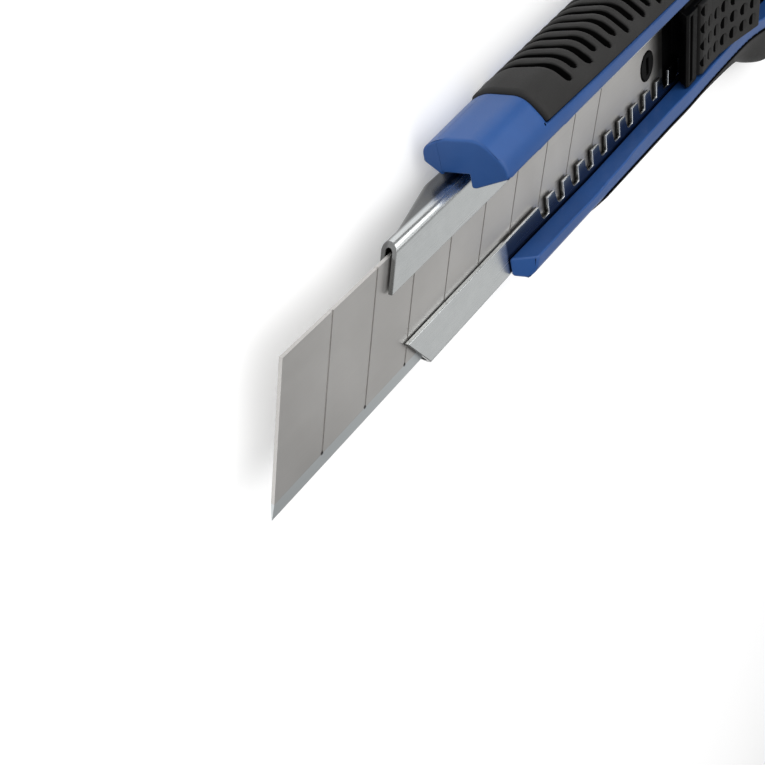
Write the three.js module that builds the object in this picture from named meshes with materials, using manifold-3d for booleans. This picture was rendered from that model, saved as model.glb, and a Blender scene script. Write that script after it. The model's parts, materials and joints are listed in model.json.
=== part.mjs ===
// Heavy-duty 18 mm snap-off utility knife: steel blade channel in a two-shell handle with soft
// grips, a click-stop slider that carries the blade, and spare blades behind the working one.
// Working frame (mm): X runs from the blade's point to the tail, Y from the cutting edge to the
// spine, Z from the flat back to the slider side, with Z = 0 on the blade's front face.
import * as THREE from 'three';
import { mergeVertices } from 'three/addons/utils/BufferGeometryUtils.js';
import Module from 'manifold-3d';

const wasm = await Module();
wasm.setup();

// ---- Driving dimensions ----------------------------------------------------------------------
const bladeWidth = 18;
const bladeThickness = 0.6;
const bladeLength = 111;
const segmentPitch = 8.9;
const scoreLines = 9;
const scoreAngle = THREE.MathUtils.degToRad(60);
const scoreWidth = 0.3;
const scoreDepth = 0.15;
const bevelHeight = 2.0;
const holeSetback = 6.3;         // pin hole, from the blade's rear end
const holeRadius = 2.7;

const bladeOut = 28.5;          // blade showing past the channel
const rackPitch = 5.0;          // one click of the slider
const clicks = 6;               // clicks each way from where the blade is stored
const travel = clicks * rackPitch;

const clearance = 0.3;          // between pieces that touch
const cavityClearance = 0.35;   // channel in its shells
const sheet = 0.7;              // channel steel
const bladeGap = 0.2;           // blade to channel lips
const foldRadius = 1.25;        // outside of the channel's folds
const foldRoom = 0.3;           // blade spine to the fold's round
const magazineDepth = 4.0;      // blade front face to the channel floor
const slotHigh = 4.75;          // slot between the lips, above and below the middle line
const slotLow = 3.9;
const rampStart = 6.0;          // floor ramp, from the channel tip
const rampLength = 10.5;

const toothDepth = 2.7;
const gapFloor = 2.0;
const gapFlank = 0.7;
const rackStart = 36.1;         // first gap, from the channel tip

const noseSetback = 18.0;       // upper jaw, from the channel tip
const jawSetback = 25.3;        // lower jaw, from the channel tip
const backSetback = 22.0;       // back wall behind the channel, from the channel tip
const backWall = 1.65;
const partingZ = -2.15;         // where the two shells meet
const shellFront = 8.0;         // front of the upper arm
const rimFront = 4.15;          // front of the lower arm
const bridge = 14;              // solid handle behind the slider window
const capLength = 12;
const plugSetback = 2.0;        // cap's plug, behind the channel's end
const plugFit = 0.4;
const gripInlay = 1.6;
const gripProud = 0.4;

const sliderSetback = 1.0;      // slider's front face, behind the blade's rear end
const sliderLength = 28.0;
const sliderUndercut = 3.0;     // slope of the slider's front face, its foot standing back
const ridgeBlock = 4.3;         // raised block at the slider's front
const recessSetback = 1.0;      // recess across the raised block
const recessWidth = 1.1;
const recessDepth = 0.5;
const padSetback = 5.2;         // thumb pad, behind the slider's front
const sliderTop = 4.4;
const carrierSetback = 5.0;     // carrier's block, behind the slider's front
const pawlSetback = 9.0;        // furthest back that the pawl stands, from the slider's rear
const thumbShift = 1.6;         // slider's free play that lifts the pawl
const spareThickness = 0.5;
const screwHeadRadius = 2.2;
const screwHeadHeight = 1.4;
const screwShankRadius = 1.1;
const screwHeadInset = 0.35;
const screwTipZ = 3.4;
const crossHalf = 1.3;          // cross recess in the screw heads
const crossWidth = 0.56;
const crossDepth = 0.8;
const hangHoleRadius = 3.4;
const hangHoleInset = 6.2;

// ---- Derived places --------------------------------------------------------------------------
const spineY = bladeWidth / 2;
const foldCentreY = spineY + foldRoom;
const channelHalf = foldCentreY + foldRadius;
const lipBack = bladeGap;
const lipFront = bladeGap + sheet;
const foldCentreZ = lipFront - foldRadius;
const tipFloorZ = Math.min(foldCentreZ - foldRadius, -bladeThickness - clearance - sheet);
const floorZ = -magazineDepth - sheet;
const upperLipY = slotHigh;
const lowerLipY = -slotLow;

const channelTip = bladeOut;
const noseX = channelTip + noseSetback;
const jawX = channelTip + jawSetback;
const backX = channelTip + backSetback;
const rackX = channelTip + rackStart;
const holeX = bladeLength - holeSetback;
const sliderFront = bladeLength + sliderSetback;
const sliderRear = sliderFront + sliderLength;
const windowEnd = sliderRear + travel + 2.0;
const channelEnd = windowEnd + 2.0;
const bodyEnd = windowEnd + bridge;
const tailX = bodyEnd + clearance + capLength;

const cavityHalf = channelHalf + cavityClearance;
const cavityFloor = floorZ - cavityClearance;
const cavityFront = lipFront + cavityClearance;
const backZ = cavityFloor - backWall;
const plugHalf = spineY;        // hollow for the tail cap's plug
const plugLow = floorZ + 0.5;
const plugHigh = lipFront - 0.4;
const windowTopLow = channelHalf - 1.15;
const windowTopHigh = channelHalf + 0.75;
const far = 400;

// ---- Mesh and solid helpers ------------------------------------------------------------------
function solid(geometry) {
  const bare = geometry.clone();
  bare.deleteAttribute('normal');
  bare.deleteAttribute('uv');
  const merged = mergeVertices(bare, 1e-4);
  const vertProperties = new Float32Array(merged.attributes.position.array);
  const triVerts = new Uint32Array(merged.index.array);
  const made = new wasm.Manifold(new wasm.Mesh({ numProp: 3, vertProperties, triVerts }));
  if (made.volume() > 0) return made;
  const flipped = triVerts.slice();
  for (let i = 0; i < flipped.length; i += 3) {
    flipped[i] = triVerts[i + 1];
    flipped[i + 1] = triVerts[i];
  }
  return new wasm.Manifold(new wasm.Mesh({ numProp: 3, vertProperties, triVerts: flipped }));
}

function geometryOf(shape) {
  const made = shape.getMesh();
  const geometry = new THREE.BufferGeometry();
  geometry.setAttribute('position', new THREE.BufferAttribute(made.vertProperties.slice(), 3));
  geometry.setIndex(new THREE.BufferAttribute(made.triVerts.slice(), 1));
  geometry.computeVertexNormals();
  return geometry;
}

function outline(points) {
  return new THREE.Shape(points.map(([a, b]) => new THREE.Vector2(a, b)));
}

// Prisms of an outline drawn in one plane and swept along the remaining axis.
function prismZ(points, low, high) {
  const g = new THREE.ExtrudeGeometry(outline(points), { depth: high - low, bevelEnabled: false });
  g.translate(0, 0, low);
  return solid(g);
}

function prismY(pointsXZ, low, high) {
  const g = new THREE.ExtrudeGeometry(outline(pointsXZ), { depth: high - low, bevelEnabled: false });
  g.rotateX(Math.PI / 2);
  g.translate(0, high, 0);
  return solid(g);
}

function prismX(pointsYZ, low, high) {
  const g = new THREE.ExtrudeGeometry(outline(pointsYZ), { depth: high - low, bevelEnabled: false });
  g.applyMatrix4(new THREE.Matrix4().set(0, 0, 1, low, 1, 0, 0, 0, 0, 1, 0, 0, 0, 0, 0, 1));
  return solid(g);
}

function box(x0, x1, y0, y1, z0, z1) {
  const g = new THREE.BoxGeometry(x1 - x0, y1 - y0, z1 - z0);
  g.translate((x0 + x1) / 2, (y0 + y1) / 2, (z0 + z1) / 2);
  return solid(g);
}

function drum(x, y, radius, low, high, sides = 24) {
  const g = new THREE.CylinderGeometry(radius, radius, high - low, sides);
  g.rotateX(Math.PI / 2);
  g.translate(x, y, (low + high) / 2);
  return solid(g);
}

// Skin through sections of equal point count, each lying in a plane of constant x.
function loft(stations, sectionAt) {
  const rings = stations.map((x) => sectionAt(x).map(([y, z]) => [x, y, z]));
  const count = rings[0].length;
  const positions = rings.flat(2);
  const index = [];
  for (let r = 0; r + 1 < rings.length; r += 1) {
    for (let i = 0; i < count; i += 1) {
      const a = r * count + i;
      const b = r * count + ((i + 1) % count);
      index.push(a, b, a + count, b, b + count, a + count);
    }
  }
  const lastRing = (rings.length - 1) * count;
  const flat = (ring) => ring.map(([, y, z]) => new THREE.Vector2(y, z));
  for (const [a, b, c] of THREE.ShapeUtils.triangulateShape(flat(rings[0]), [])) {
    index.push(a, c, b);
  }
  for (const [a, b, c] of THREE.ShapeUtils.triangulateShape(flat(rings.at(-1)), [])) {
    index.push(lastRing + a, lastRing + b, lastRing + c);
  }
  const geometry = new THREE.BufferGeometry();
  geometry.setAttribute('position', new THREE.Float32BufferAttribute(positions, 3));
  geometry.setIndex(index);
  return solid(geometry);
}

// Replaces each corner [y, z, reach] by a short curve that starts and ends `reach` from it.
function roundCorners(corners, steps = 3) {
  const points = [];
  corners.forEach(([y, z, reach], i) => {
    const before = corners.at(i - 1);
    const after = corners[(i + 1) % corners.length];
    const toward = ([ty, tz]) => {
      const length = Math.hypot(ty - y, tz - z);
      const part = Math.min(reach, length * 0.45) / length;
      return new THREE.Vector2(y + (ty - y) * part, z + (tz - z) * part);
    };
    const curve = new THREE.QuadraticBezierCurve(
      toward(before), new THREE.Vector2(y, z), toward(after));
    for (const p of curve.getPoints(steps)) points.push([p.x, p.y]);
  });
  return points;
}

// Smooth value along x through [share of the handle, value] pairs.
function along(pairs) {
  const curve = new THREE.CatmullRomCurve3(
    pairs.map(([s, v]) => new THREE.Vector3(s, v, 0)), false, 'catmullrom', 0.4);
  const samples = curve.getPoints(pairs.length * 16);
  return (x) => {
    const s = (x - noseX) / (tailX - noseX);
    if (s <= samples[0].x) return samples[0].y;
    for (let i = 1; i < samples.length; i += 1) {
      if (s <= samples[i].x) {
        const a = samples[i - 1];
        const b = samples[i];
        return a.y + ((b.y - a.y) * (s - a.x)) / Math.max(b.x - a.x, 1e-9);
      }
    }
    return samples.at(-1).y;
  };
}

// Value along x through straight runs between [x, value] pairs.
function straight(pairs) {
  return (x) => {
    const i = Math.max(1, pairs.findIndex(([px]) => x <= px));
    const [x0, v0] = pairs[i - 1];
    const [x1, v1] = pairs[i];
    return THREE.MathUtils.lerp(v0, v1, THREE.MathUtils.clamp((x - x0) / (x1 - x0), 0, 1));
  };
}

const group = new THREE.Group();
function add(name, shape, color, roughness, metalness, parent = group) {
  const material = new THREE.MeshStandardMaterial({ color, roughness, metalness });
  const geometry = shape.isBufferGeometry ? shape : geometryOf(shape);
  const mesh = new THREE.Mesh(geometry, material);
  mesh.name = name;
  parent.add(mesh);
  return mesh;
}

const steel = [0xb4b4b0, 0.3, 1.0];
const zinc = [0x8f9292, 0.4, 1.0];
const blue = [0x2d5087, 0.35, 0.0];
const rubber = [0x37373a, 0.75, 0.0];
const black = [0x1b1b1d, 0.45, 0.0];

// ---- Handle envelope -------------------------------------------------------------------------
// Wall of each arm outside the channel's folds, and the height of the lower arm's front.
const armAbove = along([[0, 5.9], [0.09, 6.7], [0.25, 8.0], [0.42, 9.0], [0.62, 9.6],
  [0.8, 8.9], [0.93, 6.6], [1, 3.4]]);
const armBelow = along([[0, 1.7], [0.06, 1.9], [0.21, 3.05], [0.36, 4.25], [0.52, 5.35],
  [0.63, 6.7], [0.68, 8.4], [0.735, 12.4], [0.79, 15.6], [0.86, 17.3], [0.94, 15.4], [1, 9.6]]);
const rimEdge = along([[0, -0.45], [0.06, -0.45], [0.36, 0.4], [0.5, 0.15], [0.62, 0.5],
  [0.7, 2.0], [0.8, 4.2], [0.92, 3.6], [1, 0.4]]);
const rimHeight = along([[0, 0], [0.35, 0], [0.45, 0.5], [0.65, 0.7], [0.8, 2.0], [0.92, 2.4],
  [1, 1.2]]);
const frontHeight = along([[0, 0], [0.6, 0], [0.85, -0.2], [1, -1.4]]);
const backHeight = along([[0, 1.9], [0.05, 0.2], [0.08, 0], [0.9, 0], [1, 0]]);

// Closed section of the handle at x, with its skin moved out by `grow`.
function section(x, grow) {
  const top = channelHalf + armAbove(x) + grow;
  const bottom = -channelHalf - armBelow(x) - grow;
  const rim = -channelHalf - rimEdge(x) - grow * 0.5;
  const front = shellFront + frontHeight(x) + grow;
  const low = rimFront + rimHeight(x) + grow;
  const back = backZ + backHeight(x) - Math.min(grow, 0);
  const backEdge = Math.max(back, backZ + 2.0 - Math.min(grow, 0));
  return roundCorners([
    [top - 4.2, back, 1.2],
    [top - 1.5, backEdge, 1.0],
    [top, -2.0, 1.5],
    [top, 4.2, 1.8],
    [top - 4.0, front, 2.2],
    [rim, low, 1.0],
    [bottom, 1.0, 2.4],
    [bottom, -3.2, 1.8],
    [bottom + 3.0, back, 1.5],
  ]);
}

const stationCount = 30;
function handle(grow) {
  const stations = [];
  for (let i = 0; i <= stationCount; i += 1) {
    stations.push(noseX - 0.6 + ((tailX - noseX + 0.6) * i) / stationCount);
  }
  return loft(stations, (x) => section(x, grow));
}

const envelope = handle(0);
const gripBed = handle(-gripInlay - clearance);
const gripSkin = handle(gripProud);
const gripFloor = handle(-gripInlay);

// ---- Grip regions ----------------------------------------------------------------------------
const topGripX = noseX + 12.2;
const lowGripX = jawX + 22.8;
const topGripFrontY = channelHalf + 3.15;
const topGripBackY = channelHalf + 5.3;

function topGripRegion(gap) {
  const front = topGripFrontY - gap;
  const back = topGripBackY - gap;
  return prismX([[front, far], [front, 1.5], [back, -2.5], [back, -far], [far, -far], [far, far]],
    topGripX - gap, bodyEnd + gap);
}

function lowGripRegion(gap) {
  const steps = 12;
  const tip = [lowGripX - gap * 2, -far];
  const start = [lowGripX - gap * 2, -channelHalf - armBelow(lowGripX) + gap];
  const edge = [];
  for (let i = 0; i <= steps; i += 1) {
    const x = lowGripX + 3.5 + ((bodyEnd + gap - lowGripX - 3.5) * i) / steps;
    edge.push([x, -channelHalf - rimEdge(x) - 0.35 + gap]);
  }
  const frontPart = prismZ([tip, start, ...edge, [bodyEnd + gap, -far]], -1.0 - gap, far);
  const backEdge = edge.map(([x, y]) => [x, y - 2.6]);
  const backPart = prismZ([tip, [start[0], start[1] - 0.8], ...backEdge, [bodyEnd + gap, -far]],
    -far, -0.5);
  return frontPart.add(backPart);
}

// ---- Blade -----------------------------------------------------------------------------------
function bladeBlank(thickness) {
  const slant = bladeWidth / Math.tan(scoreAngle);
  let shape = prismZ([[0, -spineY], [bladeLength, -spineY], [bladeLength, spineY],
    [slant, spineY]], -thickness, 0);
  const half = thickness / 2;
  for (const side of [1, -1]) {
    const face = side > 0 ? 0 : -thickness;
    shape = shape.subtract(prismX([[-spineY - 1, face + side], [-spineY - 1, -half],
      [-spineY, -half + side * 0.05], [-spineY + bevelHeight, face], [-spineY + bevelHeight, face + side]],
      -1, bladeLength + 1));
  }
  return shape.subtract(drum(holeX, 0, holeRadius, -thickness - 1, 1));
}

function scoreCut(x) {
  const reach = bladeWidth / Math.tan(scoreAngle);
  const low = -spineY + bevelHeight;
  const lowX = x + bevelHeight / Math.tan(scoreAngle);
  return prismZ([[lowX, low], [lowX + scoreWidth, low], [x + reach + scoreWidth, spineY + 0.01],
    [x + reach, spineY + 0.01]], -scoreDepth, 1);
}

let workingBlade = bladeBlank(bladeThickness);
for (let i = 1; i <= scoreLines; i += 1) {
  workingBlade = workingBlade.subtract(scoreCut(i * segmentPitch));
}
add('snap_blade', workingBlade, ...steel);

// ---- Channel ---------------------------------------------------------------------------------
function channelSection(x) {
  const share = THREE.MathUtils.clamp((x - channelTip - rampStart) / rampLength, 0, 1);
  const floor = tipFloorZ + (floorZ - tipFloorZ) * share;
  const inner = foldRadius - sheet;
  const arc = (side, radius, centreZ, from, to, steps = 4) => {
    const points = [];
    for (let i = 0; i <= steps; i += 1) {
      const angle = THREE.MathUtils.degToRad(from + ((to - from) * i) / steps);
      points.push([side * (foldCentreY + radius * Math.cos(angle)), centreZ + radius * Math.sin(angle)]);
    }
    return points;
  };
  const lowCentre = floor + foldRadius;
  return [
    [upperLipY, lipBack],
    ...arc(1, inner, foldCentreZ, 90, 0),
    ...arc(1, inner, lowCentre - 0.001, 0, -90),
    ...arc(-1, inner, lowCentre - 0.001, -90, 0),
    ...arc(-1, inner, foldCentreZ, 0, 90),
    [lowerLipY, lipBack],
    [lowerLipY, lipFront],
    ...arc(-1, foldRadius, foldCentreZ, 90, 0),
    ...arc(-1, foldRadius, lowCentre - 0.001, 0, -90),
    ...arc(1, foldRadius, lowCentre - 0.001, -90, 0),
    ...arc(1, foldRadius, foldCentreZ, 0, 90),
    [upperLipY, lipFront],
  ];
}

function rackGap(x) {
  return prismZ([[x - gapFlank, lowerLipY + 1], [x - gapFlank, lowerLipY], [x, lowerLipY - toothDepth],
    [x + gapFloor, lowerLipY - toothDepth], [x + gapFloor + 0.1, lowerLipY],
    [x + gapFloor + 0.1, lowerLipY + 1]], 0, 2 * lipFront);
}

function channel() {
  const ramp = [channelTip, channelTip + rampStart, channelTip + rampStart + rampLength, channelEnd];
  let shape = loft(ramp, channelSection);
  const slant = (y) => y / Math.tan(scoreAngle);
  const mouth = prismZ([
    [channelTip - 5, channelHalf + 1],
    [channelTip + slant(channelHalf + 1 - upperLipY), channelHalf + 1],
    [channelTip, upperLipY],
    [channelTip, upperLipY - 0.3],
    [channelTip + 2, upperLipY - 1],
    [channelTip + 2, lowerLipY + 1],
    [channelTip + 0.4, lowerLipY + 0.3],
    [channelTip + 0.4, lowerLipY],
    [channelTip + 0.4 + slant(channelHalf + 1 + lowerLipY), -channelHalf - 1],
    [channelTip - 5, -channelHalf - 1]], -far, far);
  shape = shape.subtract(mouth);
  for (let x = rackX; x + gapFloor < channelEnd - 2; x += rackPitch) {
    shape = shape.subtract(rackGap(x));
  }
  return shape;
}
add('blade_channel', channel(), ...zinc);

// ---- Shells ----------------------------------------------------------------------------------
const slantFaceTop = [[noseX - 9, -far], [noseX - 0.3, -far], [noseX - 0.1, -4.4],
  [noseX + 1.1, shellFront], [noseX + 2, shellFront + 9], [noseX - 9, shellFront + 9]];
const slantFaceLow = [[noseX - 9, -far], [jawX + 3.5, -far], [jawX + 3.0, backZ], [jawX, lipFront],
  [jawX + 2.4, rimFront], [jawX + 8, shellFront + 3], [noseX - 9, shellFront + 9]];
const jawChamfer = [[noseX - 9, -far], [noseX - 9, -channelHalf + 0.7], [jawX - 0.2, -channelHalf + 0.7],
  [jawX + 4.2, -channelHalf - 1.9], [jawX + 5.4, -channelHalf - 3.4], [jawX + 5.4, -far]];

// The slider window: its lower wall leans out from a foot over the channel's lip to a crest.
const windowLow = -channelHalf + 2.75;
const windowWide = -channelHalf + 1.0;
const windowRear = -channelHalf + 0.1;
const crestZ = rimFront + 0.35;
const pathFront = sliderFront - travel - 2.0;
const wallFoot = straight([[channelTip, windowLow + 0.9], [jawX, windowLow + 0.9],
  [pathFront, windowLow + 0.15], [sliderRear + 1, windowLow], [sliderRear + 9, windowWide],
  [sliderRear + 20, windowRear], [windowEnd, windowRear]]);
const wallCrest = straight([[channelTip, windowLow + 0.5], [jawX, windowLow + 0.5],
  [jawX + 21, windowLow - 0.35], [jawX + 36, windowLow], [sliderRear + 1, windowLow],
  [sliderRear + 9, windowWide], [sliderRear + 20, windowRear], [windowEnd, windowRear]]);

function windowSection(x) {
  const floor = cavityFront - 0.05;
  const clearZ = shellFront + 4;
  const foot = wallFoot(x);
  const lean = (wallCrest(x) - foot) / (crestZ - floor);
  return [[foot, floor], [windowTopLow, floor], [windowTopLow, 2.6], [windowTopHigh, shellFront],
    [windowTopHigh, clearZ], [foot + lean * (clearZ - floor), clearZ]];
}

function sliderWindow() {
  const stations = [channelTip, jawX, jawX + 21, pathFront, jawX + 36, sliderRear + 1,
    sliderRear + 9, sliderRear + 20, windowEnd];
  return loft(stations.sort((a, b) => a - b), windowSection);
}

const screwPlaces = [
  [topGripX + 6, channelHalf + 2.7],
  [sliderFront + 12, channelHalf + 2.7],
  [bodyEnd - 8, channelHalf + 2.7],
  [windowEnd - 12, -channelHalf - 3.1],
  [bodyEnd - 8, -channelHalf - 3.4],
];
const screwHeadZ = backZ + screwHeadInset;

const shellCore = envelope
  .subtract(topGripRegion(clearance))
  .subtract(lowGripRegion(clearance))
  .add(gripBed)
  .subtract(prismY(slantFaceTop, -far, far))
  .subtract(prismY(slantFaceLow, -far, 0))
  .subtract(prismZ(jawChamfer, -far, far))
  .subtract(box(0, backX, -cavityHalf, cavityHalf, -far, partingZ))
  .subtract(box(0, noseX + 3.5, -cavityHalf - 0.6, cavityHalf + 0.6, partingZ - 0.1, lipFront + 1.0))
  .subtract(box(0, channelEnd + cavityClearance, -cavityHalf, cavityHalf, cavityFloor, cavityFront))
  .subtract(box(channelEnd, tailX, -plugHalf, plugHalf, plugLow, plugHigh))
  .subtract(sliderWindow());

let frontShell = shellCore.intersect(box(0, bodyEnd, -far, far, partingZ + clearance / 2, far));
let backShell = shellCore.intersect(box(0, bodyEnd, -far, far, -far, partingZ - clearance / 2));
for (const [x, y] of screwPlaces) {
  const bore = drum(x, y, screwShankRadius + clearance, -far, screwTipZ + clearance, 20);
  const seat = drum(x, y, screwHeadRadius + clearance, -far, screwHeadZ + screwHeadHeight + clearance, 24);
  frontShell = frontShell.subtract(bore);
  backShell = backShell.subtract(bore).subtract(seat);
}
add('front_shell', frontShell, ...blue);
add('back_shell', backShell, ...blue);

// ---- Soft grips ------------------------------------------------------------------------------
const gripRing = gripSkin.subtract(gripFloor);
add('top_grip', gripRing.intersect(topGripRegion(0)).subtract(box(bodyEnd, far, -far, far, -far, far)),
  ...rubber);
add('lower_grip', gripRing.intersect(lowGripRegion(0)).subtract(box(bodyEnd, far, -far, far, -far, far)),
  ...rubber);

// ---- End cap ---------------------------------------------------------------------------------
function endCap() {
  const shell = envelope.intersect(box(bodyEnd + clearance, far, -far, far, -far, far));
  const plug = box(channelEnd + plugSetback, bodyEnd + clearance + 1,
    -plugHalf + plugFit, plugHalf - plugFit, plugLow + plugFit, plugHigh - plugFit);
  return shell.add(plug).subtract(drum(tailX - hangHoleInset, 0, hangHoleRadius, -far, far, 28));
}
add('end_cap', endCap(), ...black);

// ---- Screws ----------------------------------------------------------------------------------
function screw() {
  const length = screwTipZ - screwHeadZ;
  const profile = [[0, 0], [screwHeadRadius - 0.3, 0], [screwHeadRadius, 0.3],
    [screwHeadRadius, screwHeadHeight], [screwShankRadius, screwHeadHeight],
    [screwShankRadius, length - 1], [0, length]];
  const turned = new THREE.LatheGeometry(profile.map(([r, z]) => new THREE.Vector2(r, z)), 20);
  turned.rotateX(Math.PI / 2);
  const wide = crossWidth / 2;
  const slot = box(-crossHalf, crossHalf, -wide, wide, -1, crossDepth)
    .add(box(-wide, wide, -crossHalf, crossHalf, -1, crossDepth));
  return solid(turned).subtract(slot);
}
screwPlaces.forEach(([x, y], i) => {
  const mesh = add(`screw_${i + 1}`, screw(), ...zinc);
  mesh.position.set(x, y, screwHeadZ);
});

// ---- Slider, carrier and pawl ----------------------------------------------------------------
const carrierTop = 2.55;
const tongueTop = -bladeThickness - 0.25;
const tongueLow = tongueTop - 0.6;
const tongueHalf = spineY - 0.6;
const blockX = [sliderFront + carrierSetback, sliderRear - 4.5];
const blockLow = lowerLipY + 0.6;
const blockHigh = upperLipY - 0.6;
const pawlGap = Math.floor((sliderRear - pawlSetback - rackX) / rackPitch);
const pawlX = rackX + pawlGap * rackPitch + 0.3;
const toothWidth = gapFloor - 0.6;
const pawlReach = toothDepth - 0.8;
const pawlFoot = lowerLipY + 1.0;
const pawlHigh = pawlFoot + 2.3;
const pawlLift = pawlReach + clearance;
const pocketHigh = pawlHigh + pawlLift + 0.8;
const pocketX = [pawlX - 2.9, pawlX + toothWidth + 2.9];

function carrier() {
  const tongue = box(holeX - 6, blockX[1], -tongueHalf, tongueHalf, tongueLow, tongueTop);
  const block = box(blockX[0], blockX[1], blockLow, blockHigh, tongueLow, carrierTop);
  const boss = drum(holeX, 0, holeRadius - clearance, tongueLow, 0.15, 28);
  const recess = box(holeX - 0.5, holeX + 0.5, -1.5, 1.5, -0.45, 2);
  const pocket = box(pocketX[0], pocketX[1], -far, pocketHigh, lipBack - 0.2, far);
  return tongue.add(block).add(boss).subtract(recess).subtract(pocket.intersect(
    box(-far, far, blockLow - 1, far, -far, far)));
}
add('blade_carrier', carrier(), ...black);

function pawl() {
  const body = box(pocketX[0] + 0.4, pocketX[1] - 0.4, pawlFoot, pawlHigh, lipBack + 0.1, carrierTop - 0.5);
  const tooth = prismZ([[pawlX, pawlFoot + 0.01], [pawlX, lowerLipY - pawlReach + 0.2],
    [pawlX + 0.2, lowerLipY - pawlReach], [pawlX + toothWidth - 0.2, lowerLipY - pawlReach],
    [pawlX + toothWidth, lowerLipY - pawlReach + 0.2], [pawlX + toothWidth, pawlFoot + 0.01]],
    lipBack + 0.1, lipFront + 0.1);
  return body.add(tooth);
}
add('lock_pawl', pawl(), ...steel);

function lockSpring() {
  const wire = 0.16;
  const coil = 0.75;
  const turns = 4;
  const length = pocketHigh - pawlHigh - 2 * (clearance + wire);
  class Helix extends THREE.Curve {
    getPoint(t, target = new THREE.Vector3()) {
      const angle = 2 * Math.PI * turns * t;
      return target.set(coil * Math.cos(angle), length * t, coil * Math.sin(angle));
    }
  }
  const ring = new THREE.Shape();
  ring.absarc(0, 0, wire, 0, 2 * Math.PI, false);
  return new THREE.ExtrudeGeometry(ring, { steps: turns * 12, curveSegments: 4,
    bevelEnabled: false, extrudePath: new Helix() });
}
const springMesh = add('lock_spring', geometryOf(solid(lockSpring())), ...steel);
springMesh.position.set(pawlX + toothWidth / 2, pawlHigh + clearance + 0.16, (lipBack + carrierTop) / 2);

const sliderLow = windowLow + 0.5;
const sliderPadHigh = upperLipY + 1.05;
const sliderHigh = windowTopLow - 0.4;
const sliderFloor = cavityFront + 0.1;
const flangeTop = 2.5;
const padBed = 3.6;

function sliderBody() {
  const foot = sliderFront + sliderUndercut;
  const blockEnd = sliderFront + ridgeBlock;
  const profile = [[foot, sliderFloor], [sliderRear, sliderFloor], [sliderRear, padBed],
    [blockEnd, padBed], [blockEnd, sliderTop - 0.3], [blockEnd - 0.3, sliderTop],
    [sliderFront + 0.4, sliderTop], [sliderFront, sliderTop - 0.4]];
  const flange = box(foot, sliderRear, sliderPadHigh - 1, sliderHigh, sliderFloor, flangeTop);
  const hollow = box(blockX[0] - 0.6, blockX[1] + thumbShift + 0.7, blockLow - 0.3, blockHigh + 0.3,
    -far, carrierTop + clearance);
  const recessX = sliderFront + recessSetback;
  const recess = box(recessX, recessX + recessWidth, sliderLow + 0.6, sliderPadHigh - 0.6,
    sliderTop - recessDepth, far);
  return prismY(profile, sliderLow, sliderPadHigh).add(flange).subtract(hollow).subtract(recess);
}
add('slider_body', sliderBody(), ...black);

function thumbPad() {
  const front = sliderFront + padSetback;
  const rear = sliderRear - 1.5;
  const length = rear - front;
  const low = padBed + clearance;
  const crest = [[0, 4.5], [0.02, 4.95], [0.2, 4.8], [0.38, 5.1], [0.52, 5.9], [0.66, 6.9], [0.8, 7.8],
    [0.9, 8.3], [0.97, 8.3], [1, 7.6]];
  const profile = [[front, low], ...crest.map(([s, z]) => [front + s * length, z]), [rear, low]];
  const slab = prismY(profile, sliderLow, sliderPadHigh);
  const corner = 1.6;
  const [y0, y1] = [sliderLow + 0.1, sliderPadHigh - 0.1];
  const plan = prismZ([[front, y0], [rear - corner, y0], [rear, y0 + corner], [rear, y1 - corner],
    [rear - corner, y1], [front, y1]], -far, far);
  return slab.intersect(plan);
}
add('thumb_pad', thumbPad(), ...rubber);

// ---- Spare blades and their spring -----------------------------------------------------------
const spareX = windowEnd - 1 - bladeLength;
const spareTop = tongueLow - 0.25;
for (let i = 0; i < 2; i += 1) {
  const mesh = add(`spare_blade_${i + 1}`, bladeBlank(spareThickness), ...steel);
  mesh.position.set(spareX, 0, spareTop - i * (spareThickness + 0.25));
}

function magazineSpring() {
  const leaf = 0.25;
  const low = -magazineDepth + 0.2;
  const high = spareTop - 2 * spareThickness - 0.5 - leaf;
  const from = spareX + 16;
  const to = spareX + bladeLength - 8;
  const steps = 12;
  const lower = [];
  const upper = [];
  for (let i = 0; i <= steps; i += 1) {
    const x = from + ((to - from) * i) / steps;
    const z = low + (high - low) * Math.sin((Math.PI * i) / steps);
    lower.push([x, z]);
    upper.unshift([x, z + leaf]);
  }
  return prismY([...lower, ...upper], -4, 4);
}
add('magazine_spring', magazineSpring(), ...steel);

// ---- Placement: origin under the middle of the knife, lying on its flat back ------------------
const knife = new THREE.Group();
knife.add(group);
const extent = new THREE.Box3().setFromObject(group);
const middle = extent.getCenter(new THREE.Vector3());
group.position.set(-middle.x, -middle.y, -extent.min.z);

export default knife;
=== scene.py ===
"""Looks for an 18 mm snap-off utility knife: satin snap-off blade, pressed steel channel,
blue moulded handle shells, ribbed rubber grips and a dimpled thumb pad.

Shapes are worked out in the knife's own millimetres: x from the blade's point to the tail, y from
the cutting edge to the spine with 0 at the blade's middle, z up from the blade's front face."""

import json
import math

import bmesh
import bpy
import numpy as np
from mathutils import Matrix, Vector


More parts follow.
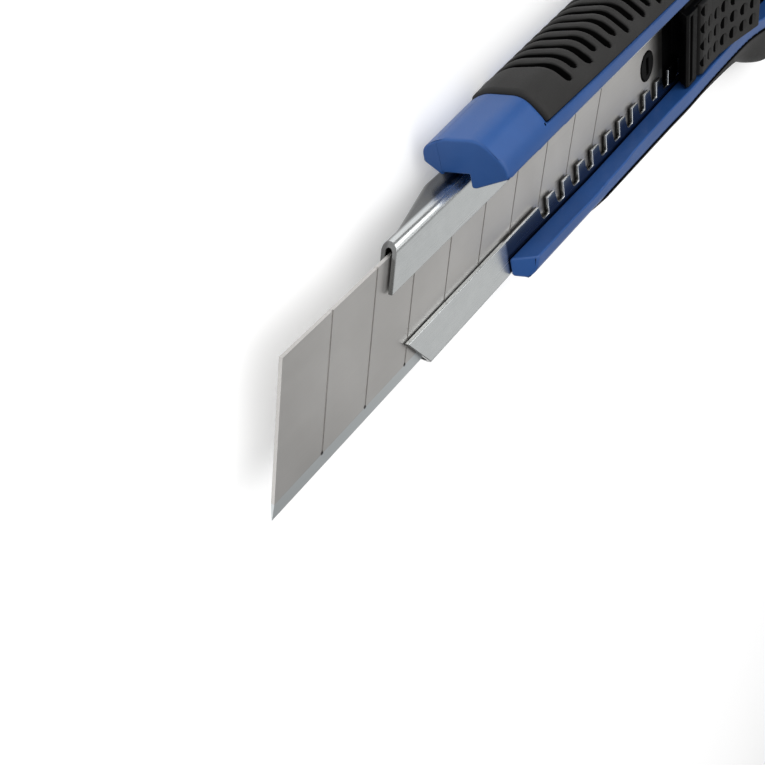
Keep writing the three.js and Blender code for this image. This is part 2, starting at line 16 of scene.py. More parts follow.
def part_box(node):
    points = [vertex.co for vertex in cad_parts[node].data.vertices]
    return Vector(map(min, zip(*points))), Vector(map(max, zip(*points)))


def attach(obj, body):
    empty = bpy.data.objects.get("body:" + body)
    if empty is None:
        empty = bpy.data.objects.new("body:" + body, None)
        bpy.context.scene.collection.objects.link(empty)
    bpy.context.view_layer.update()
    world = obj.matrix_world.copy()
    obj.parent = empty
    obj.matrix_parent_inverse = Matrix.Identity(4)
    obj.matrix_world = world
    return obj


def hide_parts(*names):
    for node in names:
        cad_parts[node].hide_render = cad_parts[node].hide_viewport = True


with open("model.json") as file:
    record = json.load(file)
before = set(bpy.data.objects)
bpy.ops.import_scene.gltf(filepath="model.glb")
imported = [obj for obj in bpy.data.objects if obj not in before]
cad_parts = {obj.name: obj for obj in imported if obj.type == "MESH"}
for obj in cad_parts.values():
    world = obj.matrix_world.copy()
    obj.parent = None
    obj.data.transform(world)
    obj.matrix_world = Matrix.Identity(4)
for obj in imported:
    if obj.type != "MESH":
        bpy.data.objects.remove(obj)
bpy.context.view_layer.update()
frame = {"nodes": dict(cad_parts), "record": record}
nodes = frame["nodes"]

MM = 0.001
blade_low, blade_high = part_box("snap_blade")
ORIGIN = np.array([blade_low.x, (blade_low.y + blade_high.y) / 2, blade_high.z])


def to_row(points):
    """Knife millimetres to metres in the row frame."""
    return np.asarray(points, float) * MM + ORIGIN


def knife_box(node):
    """Lowest and highest corner of a CAD node in knife millimetres."""
    return [(np.array(corner) - ORIGIN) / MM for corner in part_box(node)]


# ---- Places taken from the CAD nodes ---------------------------------------------------------
channel_low, channel_high = knife_box("blade_channel")
shell_low, shell_high = knife_box("front_shell")
back_low, back_high = knife_box("back_shell")
pad_low, pad_high = knife_box("thumb_pad")
slider_low, slider_high = knife_box("slider_body")

CHANNEL_TIP, CHANNEL_END = channel_low[0], channel_high[0]
CHANNEL_HALF = channel_high[1]
LIP_FRONT = channel_high[2]
TAIL_X = knife_box("end_cap")[1][0]
BODY_END = shell_high[0]
BACK_Z = back_low[2]
PARTING_Z = (shell_low[2] + back_high[2]) / 2
TOP_GRIP_X = knife_box("top_grip")[0][0]
LOW_GRIP_X = knife_box("lower_grip")[0][0]
SLIDER_FRONT, SLIDER_REAR = slider_low[0], slider_high[0]

# ---- Sizes of the shapes made here -----------------------------------------------------------
BLADE_HALF = 9.0                # from the blade's middle to its edge
BEVEL_TOP = -7.0                # where the ground edge meets the flat of the blade
SCORE_PITCH = 8.9
SCORE_COUNT = 9
SCORE_SHIFT = 0.15              # middle of a score line behind its leading side
SCORE_SLOPE = 1 / math.tan(math.radians(60))
SHEET = 0.7                     # thickness of the channel's steel
FOLD = 1.25                     # outer radius of its folds
UPPER_LIP_Y = 4.75
LOWER_LIP_Y = -3.9
LOWER_LIP_SETBACK = 0.4         # of the lower lip's front behind the channel's tip
RACK_PITCH = 5.0
NOSE_X = CHANNEL_TIP + 18.0
JAW_X = CHANNEL_TIP + 25.3
WINDOW_END = CHANNEL_END - 2.0
SHELL_FRONT = 8.0
RIM_FRONT = 4.15
CLEARANCE = 0.3
GRIP_INLAY = 1.6
GRIP_PROUD = 0.4
GRIP_FRONT_Y = CHANNEL_HALF + 3.15
GRIP_BACK_Y = CHANNEL_HALF + 5.3
CAVITY_HALF = CHANNEL_HALF + 0.35
CAVITY_FRONT = LIP_FRONT + 0.15
CAVITY_FLOOR = channel_low[2] - 0.35
PARTING_GAP = 0.02
SECTION_STEPS = 10              # pieces of each rounded corner of the handle's section
TOP_SIDE_POINTS = 5 * (SECTION_STEPS + 1)
FAR = 400.0                     # past every piece of the knife


# ---- Handle envelope -------------------------------------------------------------------------
def along(*pairs):
    """Smooth value along x through (share of the handle, value) pairs."""
    tension = 0.4
    pairs = np.array(pairs, float)
    p = np.array([2 * pairs[0] - pairs[1], *pairs, 2 * pairs[-1] - pairs[-2]])
    t = np.linspace(0, 1, 25)[:, None]
    spans = []
    for i in range(1, len(p) - 2):
        start, end = tension * (p[i + 1] - p[i - 1]), tension * (p[i + 2] - p[i])
        spans.append((2 * t**3 - 3 * t**2 + 1) * p[i] + (t**3 - 2 * t**2 + t) * start
                     + (3 * t**2 - 2 * t**3) * p[i + 1] + (t**3 - t**2) * end)
    curve = np.concatenate(spans)
    return lambda x: float(np.interp((x - NOSE_X) / (TAIL_X - NOSE_X), curve[:, 0], curve[:, 1]))


arm_above = along((0, 5.9), (0.09, 6.7), (0.25, 8.0), (0.42, 9.0), (0.62, 9.6), (0.8, 8.9),
                  (0.93, 6.6), (1, 3.4))
arm_below = along((0, 1.7), (0.06, 1.9), (0.21, 3.05), (0.36, 4.25), (0.52, 5.35), (0.63, 6.7),
                  (0.68, 8.4), (0.735, 12.4), (0.79, 15.6), (0.86, 17.3), (0.94, 15.4), (1, 9.6))
rim_edge = along((0, -0.45), (0.06, -0.45), (0.36, 0.4), (0.5, 0.15), (0.62, 0.5), (0.7, 2.0),
                 (0.8, 4.2), (0.92, 3.6), (1, 0.4))
rim_height = along((0, 0), (0.35, 0), (0.45, 0.5), (0.65, 0.7), (0.8, 2.0), (0.92, 2.4), (1, 1.2))
front_height = along((0, 0), (0.6, 0), (0.85, -0.2), (1, -1.4))
back_height = along((0, 1.9), (0.05, 0.2), (0.08, 0), (0.9, 0), (1, 0))


def rounded(corners, steps):
    """Closed outline whose corners (y, z, reach) are short curves starting `reach` from them."""
    points = []
    t = np.linspace(0, 1, steps + 1)[:, None]
    for i, (y, z, reach) in enumerate(corners):
        corner = np.array([y, z])
        ends = []
        for other in (corners[i - 1], corners[(i + 1) % len(corners)]):
            away = np.array(other[:2]) - corner
            length = np.linalg.norm(away)
            ends.append(corner + away * min(reach, length * 0.45) / length)
        points.extend((1 - t)**2 * ends[0] + 2 * t * (1 - t) * corner + t**2 * ends[1])
    return np.array(points)


def section(x, grow):
    """Closed (y, z) outline of the handle at x, with its skin moved out by `grow`.
    Its first five corners are the spine side and the rest are the belly side."""
    top = CHANNEL_HALF + arm_above(x) + grow
    bottom = -CHANNEL_HALF - arm_below(x) - grow
    rim = -CHANNEL_HALF - rim_edge(x) - grow * 0.5
    front = SHELL_FRONT + front_height(x) + grow
    low = RIM_FRONT + rim_height(x) + grow
    back = BACK_Z + back_height(x) - min(grow, 0)
    back_edge = max(back, BACK_Z + 2.0 - min(grow, 0))
    return rounded([(top - 4.2, back, 1.2), (top - 1.5, back_edge, 1.0), (top, -2.0, 1.5),
                    (top, 4.2, 1.8), (top - 4.0, front, 2.2), (rim, low, 1.0), (bottom, 1.0, 2.4),
                    (bottom, -3.2, 1.8), (bottom + 3.0, back, 1.5)], SECTION_STEPS)


# ---- Mesh helpers ----------------------------------------------------------------------------
def new_piece(name, points, faces):
    """A mesh object from points in knife millimetres."""
    mesh = bpy.data.meshes.new(name)
    mesh.from_pydata(to_row(points).tolist(), [], faces)
    work = bmesh.new()
    work.from_mesh(mesh)
    bmesh.ops.recalc_face_normals(work, faces=work.faces)
    work.to_mesh(mesh)
    work.free()
    piece = bpy.data.objects.new(name, mesh)
    bpy.context.scene.collection.objects.link(piece)
    return piece


def mark_hollow_shades(piece, depths):
    """Keeps how much painted shade each point gets, 0 to 1, in grooves, dimples, the pad's slot and along a
    grip's seam, for the finish to read.
    """
    kept = piece.data.attributes.new("hollow_shade", "FLOAT", "POINT")
    kept.data.foreach_set("value", np.asarray(depths, np.float32).ravel())


def skin(name, rings):
    """Closed skin through rings of equal point count, capped at both ends."""
    rings = np.asarray(rings, float)
    count, around = rings.shape[:2]
    faces = []
    for r in range(count - 1):
        for i in range(around):
            a, b = r * around + i, r * around + (i + 1) % around
            faces.append((a, b, b + around, a + around))
    faces.append(tuple(range(around)))
    faces.append(tuple(range((count - 1) * around, count * around)))
    return new_piece(name, rings.reshape(-1, 3), faces)


def prism(name, outline, axis, low, high):
    """Outline in the two other axes (in x, y, z order) swept from low to high along one axis."""
    rings = []
    for level in (low, high):
        rings.append([np.insert(np.array(p, float), axis, level) for p in outline])
    return skin(name, rings)


def slab(name, low, high):
    """Box between two corners."""
    outline = [(low[0], low[1]), (high[0], low[1]), (high[0], high[1]), (low[0], high[1])]
    return prism(name, outline, 2, low[2], high[2])


def drum(name, x, y, radius, low, high, sides=48):
    """Round bar along z."""
    turns = [2 * math.pi * i / sides for i in range(sides)]
    return prism(name, [(x + radius * math.cos(a), y + radius * math.sin(a)) for a in turns], 2, low, high)


def settle(piece):
    """Makes the piece's modifiers part of its mesh."""
    bpy.context.view_layer.update()
    shown = piece.evaluated_get(bpy.context.evaluated_depsgraph_get())
    mesh = bpy.data.meshes.new_from_object(shown)
    piece.modifiers.clear()
    piece.data = mesh
    return piece


def combine(piece, operation, *tools):
    """Boolean of the piece with each tool in turn, which uses the tools up."""
    for tool in tools:
        step = piece.modifiers.new("step", "BOOLEAN")
        step.operation = operation
        step.solver = "MANIFOLD"
        step.object = tool
        settle(piece)
        bpy.data.objects.remove(tool)
    return piece


def cut(piece, *tools):
    return combine(piece, "DIFFERENCE", *tools)


def join(piece, *tools):
    return combine(piece, "UNION", *tools)


def copy(piece, name):
    double = piece.copy()
    double.data = piece.data.copy()
    double.name = name
    bpy.context.scene.collection.objects.link(double)
    return double


def smooth(piece, angle=32):
    """Shades the piece smooth, with edges sharper than the angle left crisp."""
    work = bmesh.new()
    work.from_mesh(piece.data)
    bmesh.ops.remove_doubles(work, verts=work.verts, dist=0.004 * MM)
    for face in work.faces:
        face.smooth = True
    for edge in work.edges:
        edge.smooth = len(edge.link_faces) == 2 and edge.calc_face_angle(0) < math.radians(angle)
    work.to_mesh(piece.data)
    work.free()
    return piece


def even(piece):
    """Keeps flat faces flat in shading beside the rounded edges."""
    modifier = piece.modifiers.new("even", "WEIGHTED_NORMAL")
    modifier.keep_sharp = True
    modifier.weight = 80
    return piece


def soften(piece, width, angle=40, segments=2):
    """Rounds the crisp edges of a piece or a CAD node by a bevel, in millimetres."""
    weld = piece.modifiers.new("weld", "WELD")
    weld.merge_threshold = 0.002 * MM
    flat = piece.modifiers.new("flat", "DECIMATE")
    flat.decimate_type = "DISSOLVE"
    flat.angle_limit = math.radians(0.6)
    bevel = piece.modifiers.new("bevel", "BEVEL")
    bevel.width = width * MM
    bevel.segments = segments
    bevel.limit_method = "ANGLE"
    bevel.angle_limit = math.radians(angle)
    return piece


def round_edges(piece, width, angle, planes):
    """Rounds the edges sharper than the angle, but for those in the planes (axis, place)."""
    work = bmesh.new()
    work.from_mesh(piece.data)
    bmesh.ops.remove_doubles(work, verts=work.verts, dist=0.03 * MM)
    weight = work.edges.layers.float.new("bevel_weight_edge")
    for edge in work.edges:
        sharp = len(edge.link_faces) == 2 and edge.calc_face_angle(0) > math.radians(angle)
        cut_off = any(all(abs(end.co[axis] - place) < 0.01 * MM for end in edge.verts)
                      for axis, place in planes)
        edge[weight] = 1.0 if sharp and not cut_off else 0.0
    work.to_mesh(piece.data)
    work.free()
    bevel = piece.modifiers.new("bevel", "BEVEL")
    bevel.width = width * MM
    bevel.segments = 3
    bevel.limit_method = "WEIGHT"
    bevel.use_clamp_overlap = False
    return piece


# ---- Finishes --------------------------------------------------------------------------------
class Wire:
    """The output of a shader node; sums of wires and numbers add Math nodes."""

    def __init__(self, finish, socket):
        self.finish = finish
        self.socket = socket

    def __add__(self, other):
        return self.finish.maths("ADD", self, other)

    def __sub__(self, other):
        return self.finish.maths("SUBTRACT", self, other)

    def __rsub__(self, other):
        return self.finish.maths("SUBTRACT", other, self)

    def __mul__(self, other):
        return self.finish.maths("MULTIPLY", self, other)

    __radd__ = __add__
    __rmul__ = __mul__


class Finish:
    """A material being made: its nodes, its principled shader and millimetre coordinates."""

    def __init__(self, name, color, roughness, metallic=0.0, **constants):
        self.material = bpy.data.materials.new(name)
        self.material.use_nodes = True
        self.tree = self.material.node_tree
        self.shader = self.tree.nodes["Principled BSDF"]
        self.set("Base Color", (*color, 1))
        self.set("Roughness", roughness)
        self.set("Metallic", metallic)
        for socket, value in constants.items():
            self.set(socket.replace("_", " "), value)
        place = self.node("ShaderNodeTexCoord", {}, {}, "Object")
        self.mm = self.node("ShaderNodeVectorMath", {"operation": "SCALE"}, {0: place, "Scale": 1 / MM})

    def node(self, kind, settings=None, sockets=None, out=0):
        """Any node, from its type, its settings and the values or links of its sockets."""
        made = self.tree.nodes.new(kind)
        for key, value in (settings or {}).items():
            if key == "stops":
                ramp = made.color_ramp
                for i, (position, shade) in enumerate(value):
                    stop = ramp.elements[i] if i < 2 else ramp.elements.new(position)
                    stop.position = position
                    stop.color = (*shade, 1) if hasattr(shade, "__len__") else (shade, shade, shade, 1)
            else:
                setattr(made, key, value)
        for key, value in (sockets or {}).items():
            self.plug(made.inputs[key], value)
        return Wire(self, made.outputs[out])

    def plug(self, socket, value):
        if isinstance(value, Wire):
            self.tree.links.new(value.socket, socket)
        else:
            socket.default_value = value

    def set(self, socket, value):
        self.plug(self.shader.inputs[socket], value)

    def maths(self, operation, left, right):
        return self.node("ShaderNodeMath", {"operation": operation}, {0: left, 1: right})

    def stretched(self, scale):
        """Millimetre coordinates multiplied along x, y and z."""
        return self.node("ShaderNodeVectorMath", {"operation": "MULTIPLY"}, {0: self.mm, 1: scale})

    def noise(self, scale, detail=3.0, at=None, roughness=0.5):
        return self.node("ShaderNodeTexNoise", {},
                         {"Vector": at or self.mm, "Scale": scale, "Detail": detail, "Roughness": roughness},
                         "Fac")

    def band(self, value, low, high, start=0.0, end=1.0):
        """Value carried from low..high to start..end, held outside."""
        return self.node("ShaderNodeMapRange", {"clamp": True},
                         {"Value": value, "From Min": low, "From Max": high, "To Min": start, "To Max": end})

    def blend(self, factor, first, second):
        """First colour to second as the factor goes from 0 to 1."""
        def color(value):
            return value if isinstance(value, Wire) else (*value, 1)
        return self.node("ShaderNodeMix", {"data_type": "RGBA"},
                         {0: factor, 6: color(first), 7: color(second)}, 2)

    def part(self, axis, of=None):
        return self.node("ShaderNodeSeparateXYZ", {}, {0: of or self.mm}, axis)

    def relief(self, height, depth, strength=1.0):
        """Bump of a height in 0..1 that stands `depth` millimetres."""
        bump = self.node("ShaderNodeBump", {},
                         {"Height": height, "Distance": depth * MM, "Strength": strength})
        self.set("Normal", bump)

    def paint_shade(self, factor):
        """Paints shade: fades the finish to an unlit black where the factor is 1."""
        black = {"Base Color": (0.001, 0.001, 0.001, 1), "Roughness": 1.0, "Specular IOR Level": 0.0}
        dark = self.node("ShaderNodeBsdfPrincipled", {}, black)
        lit = Wire(self, self.shader.outputs[0])
        both = self.node("ShaderNodeMixShader", {}, {0: factor, 1: lit, 2: dark})
        self.plug(self.tree.nodes["Material Output"].inputs["Surface"], both)


def blade_steel():
    """Rolled blade steel: long faint streaks, painted shade in its score lines and as dark dots at their
    ends, a ground edge, and a painted shadow of the slider over its tail.
    """
    f = Finish("blade_steel", (0.60, 0.595, 0.58), 0.3, 1.0)
    streaks = f.noise(1.0, 4, f.stretched((0.05, 9.0, 9.0)))
    cloud = f.noise(0.09, 3)
    x = f.part(0) - ORIGIN[0] / MM
    y = f.part(1) - ORIGIN[1] / MM
    run = (x - (y + BLADE_HALF) * SCORE_SLOPE - SCORE_SHIFT) * (1 / SCORE_PITCH)
    nearest = f.maths("ROUND", run, 0.0)
    across = f.maths("ABSOLUTE", run - nearest, 0.0) * SCORE_PITCH
    counted = f.maths("GREATER_THAN", nearest, 0.5) * f.maths("LESS_THAN", nearest, SCORE_COUNT + 0.5)
    score_shade = f.band(across, 0.10, 0.22, 1.0, 0.0) * f.maths("GREATER_THAN", y, BEVEL_TOP) * counted
    pit_x = x - nearest * SCORE_PITCH - (BEVEL_TOP + BLADE_HALF) * SCORE_SLOPE - SCORE_SHIFT
    pit_y = y - BEVEL_TOP
    away = f.maths("SQRT", pit_x * pit_x + pit_y * pit_y, 0.0)
    pit_shade = f.band(away, 0.18, 0.32, 1.0, 0.0) * counted
    ground = f.band(y, BEVEL_TOP - 0.1, BEVEL_TOP, 1.0, 0.0)
    face = f.blend(f.band(cloud, 0.35, 0.7), (0.50, 0.49, 0.475), (0.56, 0.55, 0.535))
    face = f.blend(ground, face, (0.60, 0.63, 0.64))
    # painted shade in the score grooves
    face = f.blend(score_shade * 0.15, face, (0.22, 0.21, 0.21))
    # painted shadow of the slider over the blade's tail, from x 105.6 to 109.6 mm
    face = f.blend(f.band(x, 105.6, 109.6, 0.0, 0.9), face, (0.035, 0.033, 0.031))
    # painted shade: near-black dots at the ends of the score lines
    f.set("Base Color", f.blend(pit_shade * 0.8, face, (0.03, 0.03, 0.03)))
    f.set("Roughness", f.band(streaks, 0.3, 0.7, 0.36, 0.46) + ground * 0.06)
    f.relief(streaks, 0.003, 0.3)
    return f.material


def channel_steel():
    """Bright pressed steel, duller on its sheared edges, with painted shade on its side walls and, in the
    window, painted shade, a painted highlight and a painted dark blue reflection on the rack.
    """
    f = Finish("channel_steel", (0.60, 0.62, 0.62), 0.24, 1.0)
    streaks = f.noise(1.0, 4, f.stretched((0.04, 5.0, 5.0)))
    spots = f.noise(0.5, 5)
    x = f.part(0) - ORIGIN[0] / MM
    y = f.part(1) - ORIGIN[1] / MM
    z = f.part(2) - ORIGIN[2] / MM
    upper_end = x - CHANNEL_TIP - (y - UPPER_LIP_Y) * SCORE_SLOPE
    lower_end = x - CHANNEL_TIP - LOWER_LIP_SETBACK + (y - LOWER_LIP_Y) * SCORE_SLOPE
    sheared = f.band(f.maths("MINIMUM", upper_end, lower_end), 0.08, 0.16, 1.0, 0.0)
    painted_wall_shade = f.band(z, -0.85, -0.35, 1.0, 0.0)
    in_window = f.band(y, LOWER_LIP_Y + 0.1, LOWER_LIP_Y + 0.2, 1.0, 0.0)
    inside = f.band(x, JAW_X - 0.3, JAW_X + 0.3) * in_window
    front = f.band(z, LIP_FRONT - 0.05, LIP_FRONT - 0.01)
    face = f.blend(f.band(spots, 0.3, 0.75), (0.56, 0.58, 0.58), (0.60, 0.62, 0.62))
    # painted shade on the channel's side walls
    face = f.blend(painted_wall_shade * 0.9, face, (0.08, 0.08, 0.078))
    # in the window: painted shade low on the rack's walls and a painted highlight along their top
    edge = f.blend(f.band(z, LIP_FRONT - 0.4, LIP_FRONT - 0.25), (0.06, 0.06, 0.055), (0.85, 0.87, 0.88))
    face = f.blend(inside, face, edge)
    # painted dark slate-blue reflection on the fronts of the rack's teeth
    face = f.blend(inside * front, face, (0.085, 0.115, 0.165))
    f.set("Base Color", f.blend(sheared * 0.85, face, (0.12, 0.12, 0.12)))
    f.set("Roughness", f.band(streaks, 0.3, 0.7, 0.19, 0.29))
    f.relief(streaks, 0.002, 0.12)
    return f.material


def zinc_steel(name, shade):
    """Dull plated steel with a fine grain."""
    f = Finish(name, (shade, shade, shade), 0.32, 1.0)
    grain = f.noise(3.0, 4)
    f.set("Base Color", f.blend(f.band(grain, 0.35, 0.7), (shade * 0.85,) * 3, (shade * 1.1,) * 3))
    f.set("Roughness", f.band(grain, 0.3, 0.7, 0.24, 0.42))
    f.relief(grain, 0.01, 0.4)
    return f.material


def blue_plastic():
    """Satin blue moulding, faintly clouded and scuffed along its length."""
    f = Finish("blue_plastic", (0.02, 0.07, 0.235), 0.38, Specular_IOR_Level=0.3)
    cloud = f.noise(0.12, 3)
    grain = f.noise(7.0, 3)
    scuffs = f.noise(1.0, 5, f.stretched((0.25, 2.2, 2.2)))
    tint = f.blend(f.band(cloud, 0.3, 0.7), (0.015, 0.066, 0.225), (0.020, 0.080, 0.265))
    f.set("Base Color", f.blend(f.band(scuffs, 0.66, 0.8, 0.0, 0.25), tint, (0.04, 0.11, 0.31)))
    f.set("Roughness", f.band(grain, 0.3, 0.7, 0.34, 0.44) + f.band(scuffs, 0.6, 0.8, 0.0, 0.08))
    f.relief(grain, 0.012, 0.35)
    return f.material


def black_plastic():
    """Deep black moulding with a fine grain."""
    f = Finish("black_plastic", (0.014, 0.014, 0.015), 0.5, Specular_IOR_Level=0.06)
    grain = f.noise(6.0, 4)
    cloud = f.noise(0.3, 3)
    f.set("Base Color", f.blend(f.band(cloud, 0.3, 0.7), (0.003, 0.003, 0.003), (0.006, 0.006, 0.006)))
    f.set("Roughness", f.band(grain, 0.3, 0.7, 0.4, 0.55))
    f.relief(grain, 0.015, 0.4)
    return f.material


def grip_rubber():
    """Matt pebbled rubber, with painted shade in unlit black at the bottom of its grooves and dimples, in
    the pad's slot and along a grip's seam.
    """
    f = Finish("grip_rubber", (0.036, 0.036, 0.037), 0.6, Specular_IOR_Level=0.18)
    pebbles = {"Vector": f.mm, "Scale": 5.0}
    grain = f.node("ShaderNodeTexVoronoi", {"feature": "SMOOTH_F1"}, pebbles, "Distance")
    fine = f.noise(9.0, 3)
    cloud = f.noise(0.15, 3)
    hollow_shade = f.node("ShaderNodeAttribute", {"attribute_name": "hollow_shade"}, {}, "Fac")
    skin_tone = f.blend(f.band(cloud, 0.3, 0.7), (0.019, 0.0185, 0.018), (0.026, 0.0255, 0.025))
    f.set("Base Color", skin_tone)
    f.set("Roughness", f.band(fine, 0.3, 0.7, 0.58, 0.74))
    # painted shade in the hollows marked on the mesh
    f.paint_shade(f.band(hollow_shade, 0.3, 0.6, 0.0, 0.96))
    f.relief(grain * 0.6 + fine * 0.4, 0.03, 0.45)
    return f.material


MATERIALS = {
    "blade_steel": blade_steel(), "channel_steel": channel_steel(),
    "spring_steel": zinc_steel("spring_steel", 0.5), "screw_steel": zinc_steel("screw_steel", 0.45),
    "blue_plastic": blue_plastic(), "black_plastic": black_plastic(), "grip_rubber": grip_rubber(),
}
SLOT_OF = {entry["node"]: entry["material_slot"] for entry in frame["record"]["subparts"]}


def dress(piece, slot):
    """Puts one finish on the whole piece."""
    piece.data.materials.clear()
    piece.data.materials.append(MATERIALS[slot])


for name, node in nodes.items():
    dress(node, SLOT_OF[name])


def finish_piece(piece, node, body):
    """Gives a made piece the finish of the CAD node that it stands for and its body, and hides that node."""
    dress(piece, SLOT_OF[node])
    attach(piece, body)
    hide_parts(node)
    return piece


# ---- Handle shells ---------------------------------------------------------------------------
def handle(name, grow, step=0.8):
    """Closed handle body from the nose to the end cap, with its skin moved out by `grow`."""
    stations = np.arange(NOSE_X - 0.6, TAIL_X + step, step)
    return skin(name, [[(x, y, z) for y, z in section(min(x, TAIL_X), grow)] for x in stations])


def top_grip_region(gap):
    """Room for the top grip, larger than the grip by the gap."""
    front, back = GRIP_FRONT_Y - gap, GRIP_BACK_Y - gap
    outline = [(front, FAR), (front, 1.5), (back, -2.5), (back, -FAR), (FAR, -FAR), (FAR, FAR)]
    return prism("top_region", outline, 0, TOP_GRIP_X - gap, BODY_END + gap)


LOW_BACK_DROP = 2.6             # of the lower grip's back edge below its front edge


def low_grip_edge(x):
    """Front edge of the lower grip, which starts in a point under the rim."""
    edge = -CHANNEL_HALF - rim_edge(x) - 0.35
    tip = -CHANNEL_HALF - arm_below(x)
    share = np.clip((x - LOW_GRIP_X) / 3.5, 0, 1)
    return tip + (edge - tip) * share


def low_grip_region(gap):
    """Room for the lower grip, larger than the grip by the gap."""
    stations = [LOW_GRIP_X - 2 * gap, *np.linspace(LOW_GRIP_X + 0.2, BODY_END + gap, 60)]
    edge = [(x, low_grip_edge(x) + gap) for x in stations]
    ends = [(BODY_END + gap, -FAR), (LOW_GRIP_X - 2 * gap, -FAR)]
    front = prism("low_region", edge + ends, 2, -1.0 - gap, FAR)
    back = prism("low_back", [(x, y - LOW_BACK_DROP) for x, y in edge] + ends, 2, -FAR, -0.5)
    return join(front, back)


def slider_window():
    """The opening that the slider runs in: its lower wall leans out from a foot over the lip."""
    wall_low, wall_high = CHANNEL_HALF - 1.15, CHANNEL_HALF + 0.75
    low, wide, back = -CHANNEL_HALF + 2.75, -CHANNEL_HALF + 1.0, -CHANNEL_HALF + 0.1
    path = SLIDER_FRONT - 32
    behind = [(SLIDER_REAR + 1, low), (SLIDER_REAR + 9, wide), (SLIDER_REAR + 20, back), (WINDOW_END, back)]
    feet = np.array([(CHANNEL_TIP, low + 0.9), (JAW_X, low + 0.9), (path, low + 0.15), *behind])
    crests = np.array([(CHANNEL_TIP, low + 0.5), (JAW_X, low + 0.5), (JAW_X + 21, low - 0.35),
                       (JAW_X + 36, low + 0.25), (SLIDER_REAR, low + 0.25), *behind])
    floor_z, crest_z, clear_z = CAVITY_FRONT - 0.05, RIM_FRONT + 0.35, SHELL_FRONT + 4
    rings = []
    for x in sorted({*feet[:, 0], *crests[:, 0]}):
        foot, crest = np.interp(x, *feet.T), np.interp(x, *crests.T)
        clear = foot + (crest - foot) * (clear_z - floor_z) / (crest_z - floor_z)
        ring = [(foot, floor_z), (wall_low, floor_z), (wall_low, 2.6), (wall_high, SHELL_FRONT),
                (wall_high, clear_z), (clear, clear_z)]
        rings.append([(x, y, z) for y, z in ring])
    return skin("window", rings)


def shell_core():
    """Both shells in one: the handle less its grips, its channel cavity and the slider window."""
    body = cut(handle("shell", 0), top_grip_region(0.2), low_grip_region(0.2))
    join(body, handle("bed", -GRIP_INLAY - CLEARANCE))
    upper_end = [(NOSE_X - 9, -FAR), (NOSE_X - 0.3, -FAR), (NOSE_X - 0.1, -4.4), (NOSE_X + 1.1, SHELL_FRONT),
                 (NOSE_X + 2, SHELL_FRONT + 9), (NOSE_X - 9, SHELL_FRONT + 9)]
    lower_end = [(NOSE_X - 9, -FAR), (JAW_X + 3.5, -FAR), (JAW_X + 3.0, BACK_Z), (JAW_X, LIP_FRONT),
                 (JAW_X + 2.4, RIM_FRONT), (JAW_X + 8, SHELL_FRONT + 3), (NOSE_X - 9, SHELL_FRONT + 9)]
    chamfer = [(NOSE_X - 9, -FAR), (NOSE_X - 9, -CHANNEL_HALF + 0.7), (JAW_X - 0.2, -CHANNEL_HALF + 0.7),
               (JAW_X + 4.2, -CHANNEL_HALF - 1.9), (JAW_X + 5.4, -CHANNEL_HALF - 3.4), (JAW_X + 5.4, -FAR)]
    under_nose = [(-CAVITY_HALF, PARTING_Z), (CAVITY_HALF, PARTING_Z), (CAVITY_HALF + 2.6, -5.4),
                  (CAVITY_HALF + 2.6, -FAR), (-CAVITY_HALF, -FAR)]
    relief_half, cavity_end = CAVITY_HALF + 0.6, CHANNEL_END + 0.35
    return cut(
        body,
        prism("upper_end", upper_end, 1, -FAR, FAR),
        prism("lower_end", lower_end, 1, -FAR, 0),
        prism("chamfer", chamfer, 2, -FAR, FAR),
        prism("under_nose", under_nose, 0, 0, CHANNEL_TIP + 22),
        slab("nose_relief", (0, -relief_half, PARTING_Z - 0.1), (NOSE_X + 3.5, relief_half, LIP_FRONT + 1)),
        slab("cavity", (0, -CAVITY_HALF, CAVITY_FLOOR), (cavity_end, CAVITY_HALF, CAVITY_FRONT)),
        slab("plug_room", (CHANNEL_END, -9, channel_low[2] + 0.5), (FAR, 9, LIP_FRONT - 0.4)),
        slider_window())


def shells():
    """The two shells, parted front from back, with seats and bores for the screws in the back."""
    head_radius, head_depth, bore_radius = 2.2, 1.4, 1.4
    core = shell_core()
    for i in range(1, 6):
        low, high = knife_box(f"screw_{i}")
        x, y = (low[0] + high[0]) / 2, (low[1] + high[1]) / 2
        cut(core, drum("seat", x, y, head_radius + CLEARANCE, -FAR, low[2] + head_depth + CLEARANCE),
            drum("bore", x, y, bore_radius, -FAR, PARTING_Z + 0.2))
    back = copy(core, "back_moulding")
    core.name = "front_moulding"
    end = to_row((BODY_END, 0, 0))[0]
    front_face, back_face = PARTING_Z + PARTING_GAP, PARTING_Z - PARTING_GAP
    for piece, node, low, high, parting in ((core, "front_shell", front_face, FAR, front_face),
                                            (back, "back_shell", -FAR, back_face, back_face)):
        combine(piece, "INTERSECT", slab("half", (0, -FAR, low), (BODY_END, FAR, high)))
        round_edges(piece, 0.35, 42, ((2, to_row((0, 0, parting))[2]), (0, end)))
        even(smooth(settle(piece), 50))
        finish_piece(piece, node, "handle")


# ---- Soft grips ------------------------------------------------------------------------------
def ease(value, low, high):
    """0 below low, 1 above high, and smooth between."""
    t = np.clip((value - low) / (high - low), 0, 1)
    return t * t * (3 - 2 * t)


